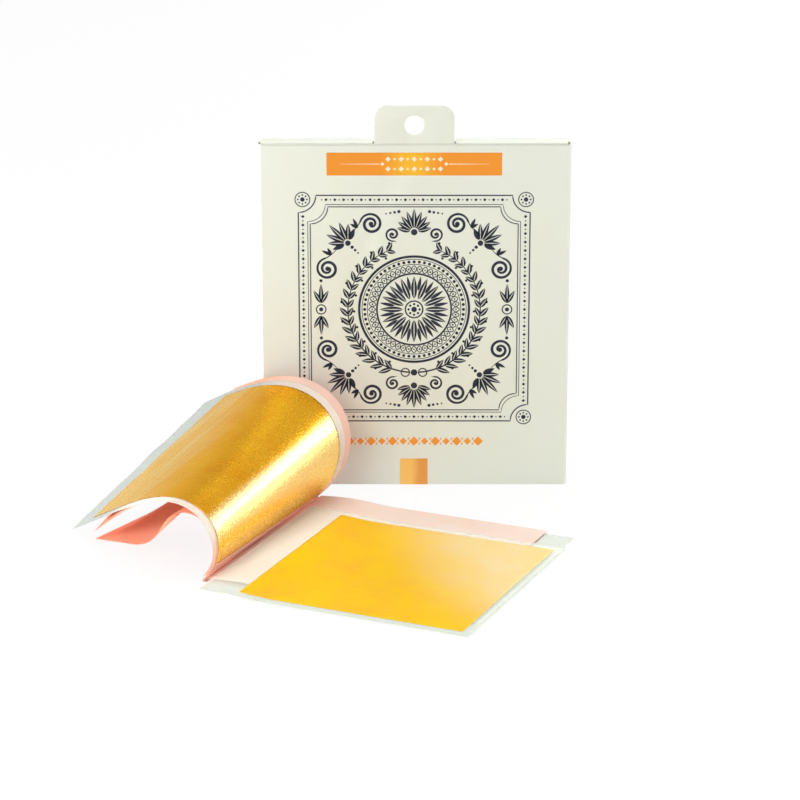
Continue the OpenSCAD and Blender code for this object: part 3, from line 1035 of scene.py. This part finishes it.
@dataclass
class RightStack:
    """The flat right-hand stack: two pages, two sheets and two leaves.

    Attributes:
        finishes: The part's materials.
        lay: How the booklet lies.
        crest: Height of the hump beside the gutter in millimetres.
        crest_u: Distance from the gutter to its crest.
        foot_u: Distance from the gutter to its foot.
        wave: Height of the slight waves that all its plies share.
        page: Width and height of a page.
        page_in: Distances from the gutter to the outer and the inner page.
        sheet: Width and height of a sheet.
        sheet_in: Distances from the gutter to the under and the top sheet.
        slip: How far the top sheet has slipped towards the near end.
        leaf_side: Side of a leaf.
        margin: Bare margin of a sheet round its leaf.
    """

    finishes: Finishes
    lay: Lay = field(default_factory=Lay)
    crest: float = 0.85
    crest_u: float = 13
    foot_u: float = 32
    wave: float = 0.07
    page: Pair = (88, 88.5)
    page_in: Pair = (-0.7, 1.4)
    sheet: Pair = (97, 87)
    sheet_in: Pair = (1.9, 4)
    slip: float = 12.5
    leaf_side: float = 80
    margin: float = 3.5

    def hump(self, u: float) -> float:
        """Height of the page's hump at a distance from the gutter.

        Args:
            u: The distance in millimetres.

        Returns:
            The height in millimetres.
        """
        if u < self.crest_u:
            return self.crest * sin(pi / 2 * max(0.0, u) / self.crest_u)
        if u < self.foot_u:
            down = (u - self.crest_u) / (self.foot_u - self.crest_u)
            return self.crest * (1 + cos(pi * down)) / 2
        return 0.0

    def waves(self, u: float, v: float) -> float:
        """Slight waves, shared by all the plies.

        Args:
            u: Distance across from the gutter in millimetres.
            v: Place along the spine in millimetres.

        Returns:
            The height in millimetres.
        """
        broad = noise.noise(Vector((u / 27, v / 19, 0.3)))
        fine = noise.noise(Vector(((u + v) / 16, (u - v) / 30, 5.1)))
        return self.wave * (1 + 0.6 * broad + 0.4 * fine)

    def flat(self, level: float, humped: bool = False,
             over: bool = False) -> Callable[[float, float], Vector]:
        """How a ply lies at its level.

        Args:
            level: Height of the ply's middle in millimetres.
            humped: True where it follows the hump.
            over: True where it stays at the crest towards the gutter.

        Returns:
            A function from distance across and place along the spine to the place.
        """
        def place(u: float, v: float) -> Vector:
            """Place of a point of the ply."""
            rise = self.hump(max(u, self.crest_u) if over else u) if humped else 0.0
            return self.lay.point(u, v, level + rise + self.waves(u, v))
        return place

    def build(self) -> None:
        """Build the six plies and dress them."""
        f, side, leaf = self.finishes, self.leaf_side, ((160, 110), 0.3)
        (page_w, page_h), (sheet_w, sheet_h) = self.page, self.sheet
        under, top = self.sheet_in
        under_start, start = under + self.margin, top + sheet_w - self.margin - side
        low = self.margin - self.slip
        for made in (
            Ply("outer_page_right", "page_right_outer", Body.BOOKLET, Slot.TISSUE, f.tissue,
                (self.page_in[0], page_w), (0, page_h),
                lambda u, v: self.lay.point(u, v, 0.075), (60, 60)),
            Ply("under_sheet", "transfer_sheet_under", Body.UNDER, Slot.SHEET, f.sheet,
                (under, under + sheet_w), (0, sheet_h), self.flat(0.51), edge=f.sheet_edge),
            Ply("under_leaf", "gold_leaf_under", Body.UNDER, Slot.GOLD, f.leaf,
                (under_start, under_start + side), (self.margin, self.margin + side),
                self.flat(0.635), *leaf),
            Ply("inner_page_right", "page_right_inner", Body.RIGHT, Slot.TISSUE, f.tissue,
                (self.page_in[1], page_w), (0, page_h), self.flat(1.025, True)),
            Ply("top_sheet", "transfer_sheet_right", Body.TOP, Slot.SHEET, f.sheet,
                (top, top + sheet_w), (-self.slip, sheet_h - self.slip),
                self.flat(1.46, True, True), edge=f.sheet_edge),
            Ply("top_leaf", "gold_leaf_right", Body.TOP, Slot.GOLD, f.leaf,
                (start, start + side), (low, low + side), self.flat(1.585, True, True), *leaf),
        ):
            made.build()


@dataclass
class Spine:
    """The glued spine with its folds and the stitches along it.

    Attributes:
        finishes: The part's materials.
        lay: How the booklet lies.
        length: Length of the spine in millimetres.
        half: Half its width.
        foot: Height of its underside.
        top: Height of its top.
        soft: Radius of its long edges.
        stitches: Number of stitches.
        stitch: Length of one stitch.
        thread: Diameter of the thread.
    """

    finishes: Finishes
    lay: Lay = field(default_factory=Lay)
    length: float = 88.5
    half: float = 0.7
    foot: float = 0.15
    top: float = 0.75
    soft: float = 0.22
    stitches: int = 4
    stitch: float = 10
    thread: float = 0.3

    def build(self) -> None:
        """Build the strip and the stitches."""
        bm = bmesh.new()
        bmesh.ops.create_cube(bm, size=1)
        high = (self.foot + self.top) / 2
        for vert in bm.verts:
            vert.co = Vector((vert.co.x * 2 * self.half, (vert.co.y + 0.5) * self.length,
                              vert.co.z * (self.top - self.foot) + high))
        along = [e for e in bm.edges if abs(e.verts[0].co.y - e.verts[1].co.y) > 1]
        bmesh.ops.bevel(bm, geom=along, offset=self.soft, segments=3, profile=0.5,
                        affect="EDGES", material=-1)
        for vert in bm.verts:
            vert.co = self.lay.point(*vert.co)
        new_piece("glued_spine", bm, self.finishes.fold, Body.BOOKLET, "spine_strip")
        self.sew()

    def sew(self) -> None:
        """Build the stitches as one thread piece that dips into the spine at each end."""
        bm = bmesh.new()
        pitch = self.length / self.stitches
        rise = self.top + self.thread / 2
        for i in range(self.stitches):
            start = (i + 0.5) * pitch - self.stitch / 2
            part = bmesh.new()
            bmesh.ops.create_cone(part, cap_ends=True, segments=10, radius1=self.thread / 2,
                                  radius2=self.thread / 2, depth=self.stitch)
            long = [e for e in part.edges if abs(e.verts[0].co.z - e.verts[1].co.z) > 1]
            bmesh.ops.subdivide_edges(part, edges=long, cuts=14, use_grid_fill=False)
            for vert in part.verts:
                t = vert.co.z / self.stitch
                dip = self.thread * ease((abs(t) - 0.4) / 0.1, 2) * 0.8
                u, z = vert.co.x, vert.co.y
                vert.co = self.lay.point(u, start + (t + 0.5) * self.stitch, rise + z - dip)
            mesh = bpy.data.meshes.new("stitch")
            part.to_mesh(mesh)
            part.free()
            bm.from_mesh(mesh)
            bpy.data.meshes.remove(mesh)
        new_piece("stitches", bm, self.finishes.thread, Body.BOOKLET,
                  "binding_thread")


class Engraving:
    """Flat printed shapes, drawn in millimetres in the packet's upright plane."""

    def __init__(self) -> None:
        """Start with nothing drawn, and with no mirroring."""
        self.bm = bmesh.new()
        self.flip = (1, 1)

    def line(self, course: list[Pair], widths: float | list[float]) -> None:
        """Draw a line that swells and thins.

        Args:
            course: Its middle points.
            widths: Its width at each point, or one width for all.
        """
        last = len(course) - 1
        full = widths if isinstance(widths, list) else [widths] * len(course)
        made = bmesh.ops.create_grid(self.bm, x_segments=last, y_segments=1, size=0.5)
        for vert in made["verts"]:
            i = round((vert.co.x + 0.5) * last)
            ahead, behind = course[min(i + 1, last)], course[max(i - 1, 0)]
            run = Vector((ahead[0] - behind[0], ahead[1] - behind[1])).normalized()
            side = vert.co.y * full[i]
            vert.co = Vector(((course[i][0] - run.y * side) * self.flip[0], 0,
                              (course[i][1] + run.x * side) * self.flip[1]))

    def block(self, width: float, height: float) -> None:
        """Draw a filled rectangle round the origin, in ten strips."""
        self.line([(width * (i / 10 - 0.5), 0) for i in range(11)], height)

    def ring(self, centre: Pair, radius: float, width: float, steps: int = 96, wave: float = 0,
             lobes: int = 0, turn: float = 0) -> None:
        """Draw a closed ring, plain or waved.

        Args:
            centre: Its centre.
            radius: Its middle radius.
            width: Its width.
            steps: Points round it.
            wave: How far it waves in and out.
            lobes: Number of waves.
            turn: Share of a wave that it is turned by.
        """
        course, (side, up) = [], self.flip  # a mirrored ring's seam stays at its right
        for i in range(steps + 1):
            a = 2 * pi * i / steps
            r = radius + wave * cos(lobes * a + 2 * pi * turn)
            course.append((centre[0] + side * r * cos(a), centre[1] + up * r * sin(a)))
        self.line(course, width)

    def dot(self, centre: Pair, radius: float, segments: int = 8) -> None:
        """Draw a filled dot, or a lozenge where it has four segments.

        Args:
            centre: Its centre.
            radius: Its radius.
            segments: Sides of it.
        """
        made = bmesh.ops.create_circle(self.bm, cap_ends=True, radius=radius, segments=segments)
        for vert in made["verts"]:
            vert.co = Vector(((centre[0] + vert.co.x) * self.flip[0], 0,
                              (centre[1] + vert.co.y) * self.flip[1]))

    def beads(self, centre: Pair, radius: float, count: int, sizes: Pair,
              segments: int = 8) -> None:
        """Draw a ring of dots.

        Args:
            centre: Its centre.
            radius: Its radius.
            count: Number of dots.
            sizes: Radius of the even dots and of the odd ones.
            segments: Sides of a dot.
        """
        for i in range(count):
            a = 2 * pi * i / count
            self.dot((centre[0] + radius * cos(a), centre[1] + radius * sin(a)), sizes[i % 2],
                     segments)

    def leaf(self, root: Pair, aim: float, length: float, width: float,
             veined: bool = False) -> None:
        """Draw a pointed leaf.

        Args:
            root: Its stalk end.
            aim: Direction in degrees.
            length: Its length.
            width: Its greatest width.
            veined: True to leave a bare line along its middle.
        """
        steps, tip = 9, 0.04
        c, s = cos(radians(aim)), sin(radians(aim))
        course = [(root[0] + c * length * i / steps, root[1] + s * length * i / steps)
                  for i in range(steps + 1)]
        wide = [tip + width * sin(pi * (i / steps) ** 0.8) ** 0.9 if 0 < i < steps else tip
                for i in range(steps + 1)]
        if not veined:
            self.line(course, wide)
            return
        for half in (-1, 1):
            offs = [half * (w * 0.27 + 0.03) for w in wide]
            self.line([(x - s * off, y + c * off) for (x, y), off in zip(course, offs)],
                      [w * 0.42 for w in wide])

    def scroll(self, centre: Pair, radius: float, start: float, turns: float, hand: int,
               width: float, tail: float) -> None:
        """Draw a spiral that winds in to a round eye, with a tail that runs off straight.

        Args:
            centre: Centre of the eye.
            radius: Outer radius.
            start: Direction of its outer end from the centre in degrees.
            turns: How often it goes round.
            hand: 1 to wind against the clock and -1 with it.
            width: Width at its thickest.
            tail: Length of the tail.
        """
        steps, tail_steps = int(44 * turns), 10
        course, wide = [], []
        for i in range(steps + 1):
            t = i / steps
            a = radians(start) + hand * 2 * pi * turns * t
            r = radius * (1 - t) ** 0.85 + 0.16 * radius * t
            course.append((centre[0] + r * cos(a), centre[1] + r * sin(a)))
            wide.append(width * (0.35 + 0.65 * sin(pi * min(1, 0.15 + t * 0.75))))
        end = Vector(course[0])
        lead = (end - Vector(course[1])).normalized()
        bend = Vector((-lead.y, lead.x)) * hand
        ts = [i / tail_steps for i in range(tail_steps, 0, -1)]
        extra = [tuple(end + lead * tail * t + bend * tail * 0.35 * t * t) for t in ts]
        self.line(extra + course, [width * (0.12 + 0.3 * (1 - t)) for t in ts] + wide)
        self.dot(centre, 0.22 * radius, 10)

    def piece(self, name: str, at: Pair, face: float, depth: float,
              material: bpy.types.Material, slot: Slot, node: str | None = None) -> None:
        """Give the shapes their thickness and hand them to the packet.

        Args:
            name: The piece's name.
            at: X and height in millimetres of the drawing's origin.
            face: Y in millimetres of the card's face.
            depth: Thickness of the print in millimetres.
            material: Its finish.
            slot: The record's slot, which is not used.
            node: The node that it replaces, if there is one.
        """
        bm = self.bm
        for vert in bm.verts:
            vert.co = Vector((vert.co.x + at[0], face, vert.co.z + at[1])) * MM
        bmesh.ops.remove_doubles(bm, verts=bm.verts, dist=1e-6)
        bmesh.ops.dissolve_degenerate(bm, edges=bm.edges, dist=1e-6)
        for mesh_face in bm.faces:
            mesh_face.normal_update()
            if mesh_face.normal.y > 0:
                mesh_face.normal_flip()
        grown = bmesh.ops.extrude_face_region(bm, geom=bm.faces[:])
        for item in grown["geom"]:
            if isinstance(item, bmesh.types.BMVert):
                item.co.y -= depth * MM
        bmesh.ops.recalc_face_normals(bm, faces=bm.faces)
        new_piece(name, bm, material, Body.PACKET, node, smooth=False)


@dataclass
class Ornament:
    """The navy ornament on the packet's face, in millimetres from its middle.

    Attributes:
        pen: The engraving that it is drawn in.
        size: Width and height of its frame.
        medal: Radius of the round medallion in its middle.
        scoop: Radius of the frame's scooped corners.
        band: Distance from the outer to the inner frame.
        pitch: Distance between the beads of the frame.
    """

    pen: Engraving = field(default_factory=Engraving)
    size: Pair = (82, 84)
    medal: float = 19.5
    scoop: float = 6.2
    band: float = 3.4
    pitch: float = 1.55

    def draw(self) -> None:
        """Draw the whole ornament, its side and corner parts mirrored."""
        self.frame()
        self.medallion()
        for x in (-1, 1):
            self.pen.flip = (x, 1)
            self.laurel()
            self.flank()
            for y in (-1, 1):
                self.pen.flip = (x, y)
                self.corner()
        for y in (-1, 1):
            self.pen.flip = (1, y)
            self.crest()

    def frame(self) -> None:
        """Draw the double frame with scooped corners and the beads between its lines."""
        pen, scoop = self.pen, self.scoop
        half_w, half_h = self.size[0] / 2, self.size[1] / 2
        for inset, width in ((0, 0.42), (self.band, 0.22), (self.band + 0.8, 0.34)):
            w, h = half_w - inset - width / 2, half_h - inset - width / 2
            course = []
            for cx, cy, first in ((w, h, 270), (-w, h, 360), (-w, -h, 90), (w, -h, 180)):
                for i in range(13):
                    a = radians(first - 90 * i / 12)
                    course.append((cx + scoop * cos(a), cy + scoop * sin(a)))
            pen.line(course + course[:1], width)
        middle = self.band / 2 + 0.1
        for half, reach, upright in ((half_h, half_w, False), (half_w, half_h, True)):
            count = int((reach - scoop - 1.2) / self.pitch)
            for i in range(-count, count + 1):
                for side in (-1, 1):
                    spot = (self.pitch * i, side * (half - middle))
                    pen.dot(spot[::-1] if upright else spot, *((0.26, 8) if i % 2 else (0.6, 4)))
        for x in (-1, 1):
            for y in (-1, 1):
                spot = (x * (half_w - 1.7), y * (half_h - 1.7))
                pen.ring(spot, 2.6, 0.34, 32)
                pen.dot(spot, 0.8, 12)
                pen.beads(spot, 1.6, 8, (0.32, 0.32))

    def medallion(self) -> None:
        """Draw the ringed medallion and its rosette."""
        pen, r, middle = self.pen, self.medal, (0, 0)
        for inset, width in ((0, 0.85), (1.0, 0.24), (2.9, 0.24), (6.3, 0.62)):
            pen.ring(middle, r - inset, width, 120)
        pen.beads(middle, r - 1.95, 60, (0.56, 0.56), 10)
        for turn in (0.0, 0.5):
            pen.ring(middle, r - 4.6, 0.32, 288, 1.2, 24, turn)
        pen.beads(middle, r - 4.6, 48, (0.3, 0.34))
        for i in range(16):
            a = 22.5 * i
            for aim, root, shape in ((a, 4.0, (8.2, 2.1, True)), (a + 11.25, 7.0, (5.4, 1.15))):
                pen.leaf((root * cos(radians(aim)), root * sin(radians(aim))), aim, *shape)
        pen.ring(middle, 3.1, 0.5, 48)
        pen.beads(middle, 1.95, 8, (0.44, 0.44))
        pen.dot(middle, 1.0, 16)

    def corner(self) -> None:
        """Draw the upper right corner's scrolls and palmette."""
        pen, (x, y) = self.pen, (23.4, 24.4)
        for i in range(-3, 4):
            aim = 45 + 23 * i
            a = radians(aim)
            pen.leaf((x + 1.3 * cos(a), y + 1.3 * sin(a)), aim, 8.0 - 1.15 * abs(i), 1.8,
                     abs(i) < 3)
        pen.dot((x, y), 1.0, 12)
        for i in range(3):
            back = (2.1 + 1.5 * i) * cos(radians(45))
            pen.dot((x - back, y - back), 0.62 - 0.14 * i)
        pen.scroll((15.2, 31.4), 3.9, 15, 1.8, 1, 1.0, 6.5)
        pen.scroll((30.6, 15.0), 3.9, 75, 1.8, -1, 1.0, 6.5)
        for place, aims in (((19.9, 30.0), (64, 28)), ((29.2, 20.0), (26, 62))):
            for k, lean in enumerate(aims):
                pen.leaf(place, lean, 3.8 - 0.8 * k, 1.1)

    def laurel(self) -> None:
        """Draw the laurel branch on the right of the medallion."""
        pen, r = self.pen, self.medal + 4.0
        course = [(r * sin(radians(a)), -r * cos(radians(a))) for a in range(4, 158, 4)]
        pen.line(course, [0.55 - 0.3 * i / len(course) for i in range(len(course))])
        for i, a in enumerate(range(20, 158, 8)):
            spot = (r * sin(radians(a)), -r * cos(radians(a)))
            size = 5.0 - 0.08 * i
            pen.leaf(spot, a - 38, size, 1.75, True)
            pen.leaf(spot, a + 34, size * 0.84, 1.55, True)
            berry = radians(a + 4)
            side = r + (2.4 if i % 2 else -2.2)
            pen.dot((side * sin(berry), -side * cos(berry)), 0.46)
        pen.ring((3.1, -r), 1.5, 0.4, 20)
        pen.dot((0, -r), 1.2, 12)

    def crest(self) -> None:
        """Draw the fan and its scrolls over the medallion."""
        pen, foot = self.pen, 28.4
        for i in range(-4, 5):
            aim = 90 + 19 * i
            a = radians(aim)
            pen.leaf((1.5 * cos(a), foot + 1.5 * sin(a)), aim, 7.0 - 0.57 * abs(i), 1.7, True)
        pen.dot((0, foot), 1.15, 12)
        for x in (-1, 1):
            pen.flip = (x, pen.flip[1])
            pen.scroll((7.6, 27.6), 2.5, -100, 1.5, 1, 0.75, 1.0)
            for i in range(4):
                pen.dot((5.4 + 1.5 * i, 35.9 - 0.25 * i), 0.6 - 0.1 * i)

    def flank(self) -> None:
        """Draw the upright bud on the right of the medallion."""
        pen, middle = self.pen, 33.0
        for y in (-1, 1):
            for lean, length in ((0, 7.0), (-30, 5.2), (30, 5.2)):
                pen.leaf((middle, y * 2.4), 90 * y + lean, length, 1.6, True)
            pen.dot((middle, y * 10.6), 0.6)
        pen.ring((middle, 0), 1.7, 0.4, 24)
        pen.dot((middle, 0), 0.75, 10)


@dataclass
class Packet:
    """The card packet with its hang tab, closure and prints.

    Attributes:
        finishes: The part's materials.
        face: Y in millimetres of the front panel's face.
        print_depth: Thickness of the prints in millimetres.
        fold: Height in metres of the panels' top edge.
        lip: How far the front panel's lip rises to the fold, in millimetres.
        reach: How much wider the closure is made, so that it ends at the front panel's edges.
        ornament_z: Height in millimetres of the ornament's middle.
        bar_size: Width and height of the bar.
        bar_z: Height of its middle.
        rule_z: Height of the rule's middle.
        sample: Side of the gold square at the bottom edge.
    """

    finishes: Finishes
    face: float = -2.75
    print_depth: float = 0.05
    fold: float = 0.126
    lip: float = 0.26
    reach: float = 53.8 / 53
    ornament_z: float = 66
    bar_size: Pair = (61.5, 8.2)
    bar_z: float = 119.1
    rule_z: float = 16.5
    sample: float = 9.9

    def card(self, name: str, node: str, soft: float, body: Body = Body.PACKET,
             creased: bool = False) -> None:
        """Build one card panel with softened edges from the model's solid.

        Args:
            name: The piece's name.
            node: The node that it replaces.
            soft: Radius of its edges in millimetres.
            body: The body it rides on.
            creased: True for the panel with the crease under the tab.
        """
        bm = bmesh.new()
        bm.from_mesh(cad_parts[node].data)
        bmesh.ops.remove_doubles(bm, verts=bm.verts, dist=1e-7)
        bmesh.ops.dissolve_limit(bm, angle_limit=radians(0.5), verts=bm.verts, edges=bm.edges)
        for vert in bm.verts:
            vert.co.x *= 1 if body is Body.PACKET else self.reach
            if creased and abs(vert.co.z - self.fold) < 1e-5:
                vert.co.z += self.lip * MM
        sharp = [e for e in bm.edges if e.is_manifold and e.calc_face_angle(0) > radians(20)]
        bmesh.ops.bevel(bm, geom=sharp, offset=soft * MM, segments=3, profile=0.5,
                        affect="EDGES", material=-1)
        f = self.finishes
        piece = new_piece(name, bm, f.creased if creased else f.card, body, node)
        piece.data.set_sharp_from_angle(angle=radians(32))

    def build(self) -> None:
        """Build the panels, the closure and the prints."""
        soft, fine = 0.12, 0.1
        self.card("front_panel", "packet_front", soft, creased=True)
        self.card("back_panel", "packet_back", soft)
        for name, node in (("left_side", "packet_side_left"), ("right_side", "packet_side_right"),
                           ("bottom_panel", "packet_bottom"), ("side_flap", "side_glue_flap"),
                           ("bottom_flap", "bottom_glue_flap")):
            self.card(name, node, fine)
        self.card("top_strip", "closure_strip", soft, Body.STRIP)
        self.card("tuck_panel", "closure_tuck", soft, Body.TUCK)
        ornament, bar, sample = Ornament(), Engraving(), Engraving()
        ornament.draw()
        bar.block(*self.bar_size)
        sample.block(self.sample, self.sample)
        f, face, deep = self.finishes, self.face, self.print_depth
        for name, pen, z, y, depth, finish, slot, node in (
            ("ornament", ornament.pen, self.ornament_z, face, deep, f.navy, Slot.NAVY,
             "ornament_print"),
            ("orange_bar", bar, self.bar_z, face, deep, f.bar, Slot.ORANGE, "label_bar"),
            ("bar_chain", self.chain(), self.bar_z, face - deep, 0.02, f.cream, Slot.ORANGE, None),
            ("orange_rule", self.rule(), self.rule_z, face, deep, f.orange, Slot.ORANGE,
             "ornament_rule"),
            ("foil_square", sample, self.sample / 2, face, deep, f.foil, Slot.FOIL,
             "gold_sample"),
        ):
            pen.piece(name, (0, z), y, depth, finish, slot, node)

    def chain(self) -> Engraving:
        """Draw the chain on the bar: two rows of lozenges and dots, and a taper at each side.

        Returns:
            The engraving.
        """
        pen = Engraving()
        for y in (-1.75, 1.75):
            for i in range(-4, 5):
                pen.dot((2.3 * i, y), *((0.46, 8) if i % 2 else (0.95, 4)))
        for side in (-1, 1):
            pen.line([(side * (12.2 + 1.4 * i), 0) for i in range(11)],
                     [0.3 - 0.022 * i for i in range(11)])
            pen.dot((side * 11.2, 0), 0.7, 4)
        return pen

    def rule(self) -> Engraving:
        """Draw the chain of lozenges and dots between the ornament and the sample.

        Returns:
            The engraving.
        """
        pen = Engraving()
        for i in range(-6, 7):
            x = 3.85 * i
            pen.dot((x, 0), 1.35 if i % 2 else 1.75, 4)
            if i < 6:
                for y in (-0.95, 0.95):
                    pen.dot((x + 1.925, y), 0.36)
        return pen


class Shown(Enum):
    """What a lamp lights."""

    BOTH = "both"
    GLOSS = "gloss"
    MATT = "matt"


@dataclass
class Studio:
    """Floor, background, lamps and camera.

    Attributes:
        eye: Place of the camera in millimetres.
        drop: Sine of the camera's downward tilt.
        lens: Focal length in millimetres on a 36 mm sensor.
        shift: Upward shift of the frame as a share of its width.
        floor_glow: Share of the floor that is shown as plain white, the rest keeping its shadows.
        waxed_floor: The floor's colour where it is seen through a waxed sheet, a painted shade.
        ambient: Strength of the light from all round on matt surfaces.
        dark_toward: Direction of the soft dark patch that gloss reflects.
        dark_edge: Cosines of the angle from it where the patch starts and where it is full.
        dark_level: Its strength where it is full.
    """

    eye: Triple = (-5.0, -1107.9, 398.0)
    drop: float = 0.3184
    lens: float = 146.1
    shift: float = 0.0175
    floor_glow: float = 0.88
    waxed_floor: Colour = (0.56, 0.63, 0.57, 1)
    ambient: float = 0.36
    dark_toward: Triple = (0.026, 0.743, 0.669)
    dark_edge: Pair = (0.9, 0.99)
    dark_level: float = 0.74

    def camera(self) -> None:
        """Set up the camera."""
        data = bpy.data.cameras.new("camera")
        data.lens = self.lens
        data.sensor_width = 36
        data.shift_y = self.shift
        data.clip_start = 0.05
        data.clip_end = 50
        shown = into_scene("camera", data)
        shown.location = Vector(self.eye) * MM
        look = Vector((0, sqrt(1 - self.drop**2), -self.drop))
        shown.rotation_euler = look.to_track_quat("-Z", "Y").to_euler()
        bpy.context.scene.camera = shown

    def floor(self) -> None:
        """Lay the pale floor, seen white where no shadow falls and in a painted shade through a
        waxed sheet.
        """
        bm = bmesh.new()
        bmesh.ops.create_grid(bm, x_segments=1, y_segments=1, size=6)
        mesh = bpy.data.meshes.new("floor")
        bm.to_mesh(mesh)
        bm.free()
        shade = Shader("floor_pale")
        shade.set(Base_Color=(0.9, 0.9, 0.9, 1), Roughness=0.9, Specular_IOR_Level=0.2)
        path = shade.node("LightPath").outputs
        # Painted shade: seen through a waxed sheet the floor glows grey green instead of white.
        bare = shade.maths("LESS_THAN", path["Transparent Depth"], 0.5)
        seen = shade.maths("MAXIMUM", path["Is Camera Ray"], path["Is Glossy Ray"])
        glow = shade.node("Emission")
        shade.feed(glow.inputs[0], shade.mix(bare, self.waxed_floor, (1, 1, 1, 1)))
        shade.cover(shade.maths("MULTIPLY", seen, self.floor_glow), glow)
        mesh.materials.append(shade.material)
        into_scene("floor", mesh)

    def world(self) -> None:
        """Light from all round: white to the camera and in gloss, softer on matt surfaces."""
        world = bpy.data.worlds.new("studio")
        bpy.context.scene.world = world
        world.use_nodes = True
        around = Nodes(world.node_tree)
        back = around.node("Background")
        around.feed(around.node("OutputWorld").inputs[0], back.outputs[0])
        path = around.node("LightPath").outputs
        toward = around.node("VectorMath", operation="DOT_PRODUCT")
        around.feed(toward.inputs[0], around.node("TexCoord").outputs["Generated"])
        around.feed(toward.inputs[1], self.dark_toward)
        patch = around.spread(toward.outputs["Value"], *self.dark_edge, 1, self.dark_level)
        strength = self.ambient
        for ray, level in (("Glossy", patch), ("Transmission", 1), ("Camera", 1)):
            strength = around.mix(path[f"Is {ray} Ray"], strength, level, plain=True)
        around.feed(back.inputs["Strength"], strength)

    def lamp(self, name: str, place: Triple, aim: Triple, size: Pair, power: float,
             shown: Shown = Shown.BOTH) -> None:
        """Hang a soft rectangular lamp.

        Args:
            name: Its name.
            place: Its middle in metres.
            aim: The point that it faces.
            size: Its width and height in metres.
            power: Its power in watts.
            shown: What it lights.
        """
        data = bpy.data.lights.new(name, "AREA")
        data.shape = "RECTANGLE"
        data.size, data.size_y = size
        data.energy = power
        lamp = into_scene(name, data)
        lamp.location = place
        lamp.rotation_euler = (Vector(aim) - Vector(place)).to_track_quat("-Z", "Y").to_euler()
        lamp.visible_diffuse = shown is not Shown.GLOSS
        lamp.visible_glossy = shown is not Shown.MATT

    def build(self) -> None:
        """Build the studio."""
        self.camera()
        self.floor()
        self.world()
        self.lamp("key", (-1.0, -1.7, 1.5), (0, 0, 0.05), (1.6, 1.6), 7.5)
        self.lamp("low", (-0.58, -1.25, 0.65), (-0.04, 0, 0.04), (0.7, 0.5), 4)
        self.lamp("side", (1.6, -0.15, 0.75), (-0.02, -0.05, 0), (1.2, 1.2), 9, Shown.MATT)
        self.lamp("left", (-0.52, 0.03, 0.045), (-0.1, -0.08, 0.015), (0.25, 0.08), 2.65,
                  Shown.MATT)
        self.lamp("overhead", (0, 0.1, 2.2), (0, 0, 0), (1.8, 1.8), 31, Shown.MATT)
        self.lamp("edge", (0.68, 0.16, 0.3), (-0.08, -0.05, 0.03), (0.08, 0.5), 1.4, Shown.GLOSS)
        self.lamp("back", (0.4, 1.0, 0.42), (0, -0.05, 0), (0.5, 0.4), 1.6)


def main() -> None:
    """Build the studio and the part, and write how large it comes out."""
    logging.basicConfig(level=logging.INFO, format="%(message)s")
    scene = bpy.context.scene
    scene.view_settings.view_transform = "Standard"
    Studio().build()
    finishes = Finishes(Packet.fold)
    for assembly in (TurnedPages, RightStack, Spine, Packet):
        assembly(finishes).build()


if __name__ == "__main__":
    main()
